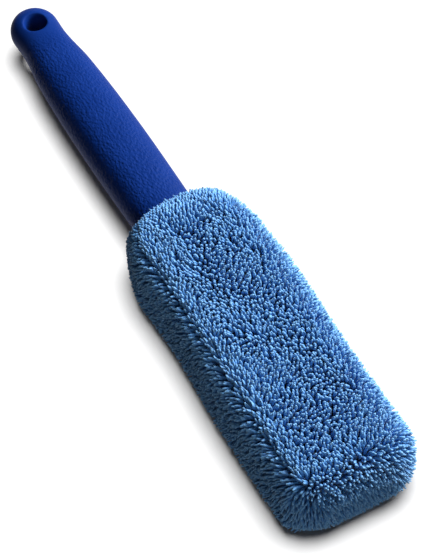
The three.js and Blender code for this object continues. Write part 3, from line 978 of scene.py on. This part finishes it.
def make_backing(pile):
    """The cover's knitted sheets, each under its piece of pile."""
    cloth = knit_material("backing_knit", (0.006, 0.02, 0.06), (0.016, 0.05, 0.13))
    panel_end = HEAD_END_X - SEAM_INSET
    end_depth = SEAM_INSET - PILE_DEPTH - 0.1
    body = np.linspace(CUFF_END_X + 0.3, panel_end, BODY_ROWS)
    neck = np.linspace(MOUTH_X + 0.4, CUFF_END_X - 0.1, NECK_ROWS)
    tail = panel_end + end_depth * np.sin(np.linspace(0, math.pi / 2, TAIL_ROWS))
    meshes = [
        backing_mesh("backing_top", body, (0, -1), (0, 1), PANEL_COLUMNS),
        backing_mesh("backing_bottom", body, (0.5, -1), (0.5, 1), PANEL_COLUMNS),
        backing_mesh("backing_side_right", body, (0, 1), (0.5, -1), SIDE_COLUMNS),
        backing_mesh("backing_side_left", body, (0.5, 1), (1, -1), SIDE_COLUMNS),
        end_cap("backing_end", tail),
        backing_mesh("backing_cuff", neck, (0, 0), (1, 0), CUFF_COLUMNS),
    ]
    for mesh in meshes:
        name = mesh.name
        strands = name.replace("backing", "pile")
        obj = new_object(name, mesh)
        thicken(obj, BACKING_THICKNESS)
        put(obj, cloth)
        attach(obj, "cover")
        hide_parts(PILE_NODES[strands])


# ---- foam ----

FOAM_VOXEL = 1.2
FOAM_DENT = 0.9


def dent(pad, rng):
    """Slight hollows over a pad, as the knit pulls foam in unevenly."""
    points = read_values(pad.data.vertices, "co", 3)
    normals = read_values(pad.data.vertices, "normal", 3)
    hollow = 0.5 + 0.25 * (wave_field(rng, points / MM, 34) + wave_field(rng, points / MM, 9) * 0.4)
    points -= np.clip(hollow, 0, 1)[:, None] * FOAM_DENT * MM * normals
    move_points(pad.data, points)


def make_foam():
    rng = np.random.default_rng(SEED + 1)
    foam = foam_material()
    for name, source in (("foam_core_upper", "foam_pad_upper"), ("foam_core_lower", "foam_pad_lower")):
        pad = new_object(name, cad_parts[source].data.copy())
        voxel_remesh(pad, FOAM_VOXEL)
        relax(pad, 10)
        dent(pad, rng)
        pad.data.shade_smooth()
        put(pad, foam)
        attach(pad, "handle")
        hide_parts(source)


# ---- pieces carried over from the CAD ----


def dress_carried_pieces():
    blade = plain_material(
        "blade_plastic",
        (0.009, 0.01, 0.012),
        (0.016, 0.017, 0.02),
        scale=40,
        roughness=0.5,
        grain=(900, 0.0001),
    )
    steel = plain_material(
        "screw_steel",
        (0.42, 0.43, 0.45),
        (0.55, 0.56, 0.58),
        scale=300,
        roughness=0.3,
        metallic=1.0,
    )
    glue = plain_material(
        "glue",
        (0.5, 0.47, 0.38),
        (0.62, 0.59, 0.48),
        scale=120,
        roughness=0.4,
        grain=(500, 0.0001),
    )
    rubber = plain_material(
        "elastic",
        (0.62, 0.62, 0.58),
        (0.78, 0.78, 0.75),
        scale=400,
        roughness=0.8,
        grain=(1200, 0.0001),
    )
    tape = knit_material("hem_knit", (0.008, 0.028, 0.08), (0.02, 0.06, 0.16))
    looks = {
        "paddle_blade": blade,
        "tang_screw_left": steel,
        "tang_screw_right": steel,
        "glue_film_upper": glue,
        "glue_film_lower": glue,
        "cuff_hem": tape,
        "seam_tape_upper": tape,
        "seam_tape_lower": tape,
        "cuff_elastic": rubber,
    }
    for name, look in looks.items():
        put(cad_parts[name], look)


# ---- stage, in metres ----

AZIMUTH, ELEVATION, ROLL = 63.9, 54.5, -4.0
CAMERA_DISTANCE = 1.1
SENSOR_HEIGHT = 24
LENS = 84.54054
AIM = Vector((0.019, 0.0115, 0))
FLOOR_HALF = 20000  # millimetres
KEY_POWER = 77
FILL_POWER = 4
OVERHEAD_STRENGTH = 4.5
WORLD_STRENGTH = 0.052


def make_camera():
    azimuth, elevation, roll = (math.radians(v) for v in (AZIMUTH, ELEVATION, ROLL))
    flat = math.cos(elevation)
    back = Vector((math.sin(azimuth) * flat, -math.cos(azimuth) * flat, math.sin(elevation)))
    level = Vector((math.cos(azimuth), math.sin(azimuth), 0))
    upright = back.cross(level)
    right = level * math.cos(roll) + upright * math.sin(roll)
    up = upright * math.cos(roll) - level * math.sin(roll)
    data = bpy.data.cameras.new("camera")
    data.sensor_fit = "VERTICAL"
    data.sensor_height = SENSOR_HEIGHT
    data.lens = LENS
    data.clip_end = 20
    camera = new_object("camera", data)
    place = Matrix((right, up, back)).transposed().to_4x4()
    place.translation = AIM + back * CAMERA_DISTANCE
    camera.matrix_world = place
    bpy.context.scene.camera = camera


def place_light(name, kind, place, aim, power):
    data = bpy.data.lights.new(name, kind)
    data.energy = power
    light = new_object(name, data)
    light.location = place
    light.rotation_euler = (Vector(aim) - Vector(place)).to_track_quat("-Z", "Y").to_euler()
    return light


def link_floor(light, floor, state):
    """Lets a light reach the floor only, or everything but the floor."""
    chosen = bpy.data.collections.new(light.name + "_floor")
    chosen.objects.link(floor)
    chosen.collection_objects[0].light_linking.link_state = state
    light.light_linking.receiver_collection = chosen


def make_world():
    """Dim light from all round, behind a backdrop that the camera sees as white."""
    world = bpy.data.worlds.new("world")
    world.use_nodes = True
    tree = world.node_tree
    dim = tree.nodes["Background"]
    dim.inputs["Color"].default_value = (1.0, 0.97, 0.96, 1)
    dim.inputs["Strength"].default_value = WORLD_STRENGTH
    backdrop = node(tree, "ShaderNodeBackground", Color=(1, 1, 1, 1), Strength=1.0)
    seen = tree.nodes.new("ShaderNodeLightPath")
    choose = tree.nodes.new("ShaderNodeMixShader")
    tree.links.new(seen.outputs["Is Camera Ray"], choose.inputs["Fac"])
    tree.links.new(dim.outputs["Background"], choose.inputs[1])
    tree.links.new(backdrop.outputs["Background"], choose.inputs[2])
    tree.links.new(choose.outputs["Shader"], tree.nodes["World Output"].inputs["Surface"])
    bpy.context.scene.world = world


def make_floor():
    low, high = -FLOOR_HALF, FLOOR_HALF
    corners = np.array([[low, low, 0], [high, low, 0], [high, high, 0], [low, high, 0]])
    floor = new_object("floor", mesh_of("floor", corners, [np.array([[0, 1, 2, 3]])]))
    material, _, shader = new_material("floor_white")
    shader.inputs["Base Color"].default_value = (0.8, 0.8, 0.8, 1)
    shader.inputs["Roughness"].default_value = 0.9
    put(floor, material)
    floor.visible_diffuse = False
    return floor


def make_stage():
    """A white floor with a soft shadow, a large key light on the left, and a weak fill past the far end."""
    floor = make_floor()
    key = place_light("key", "AREA", (-0.2, 1.25, 0.95), (0.05, 0, 0), KEY_POWER)
    key.data.size = 0.9
    link_floor(key, floor, "EXCLUDE")
    fill = place_light("fill", "AREA", (1.2, -0.25, 0.9), (0.05, 0, 0), FILL_POWER)
    fill.data.size = 0.5
    link_floor(fill, floor, "EXCLUDE")
    overhead = place_light("overhead", "SUN", (0.12, 0.12, 1.5), (0, 0, 0), OVERHEAD_STRENGTH)
    overhead.data.angle = math.radians(32)
    link_floor(overhead, floor, "INCLUDE")
    make_world()
    bpy.context.scene.view_settings.view_transform = "Standard"


make_camera()
make_stage()
make_grip()
make_foam()
make_backing(make_pile())
dress_carried_pieces()
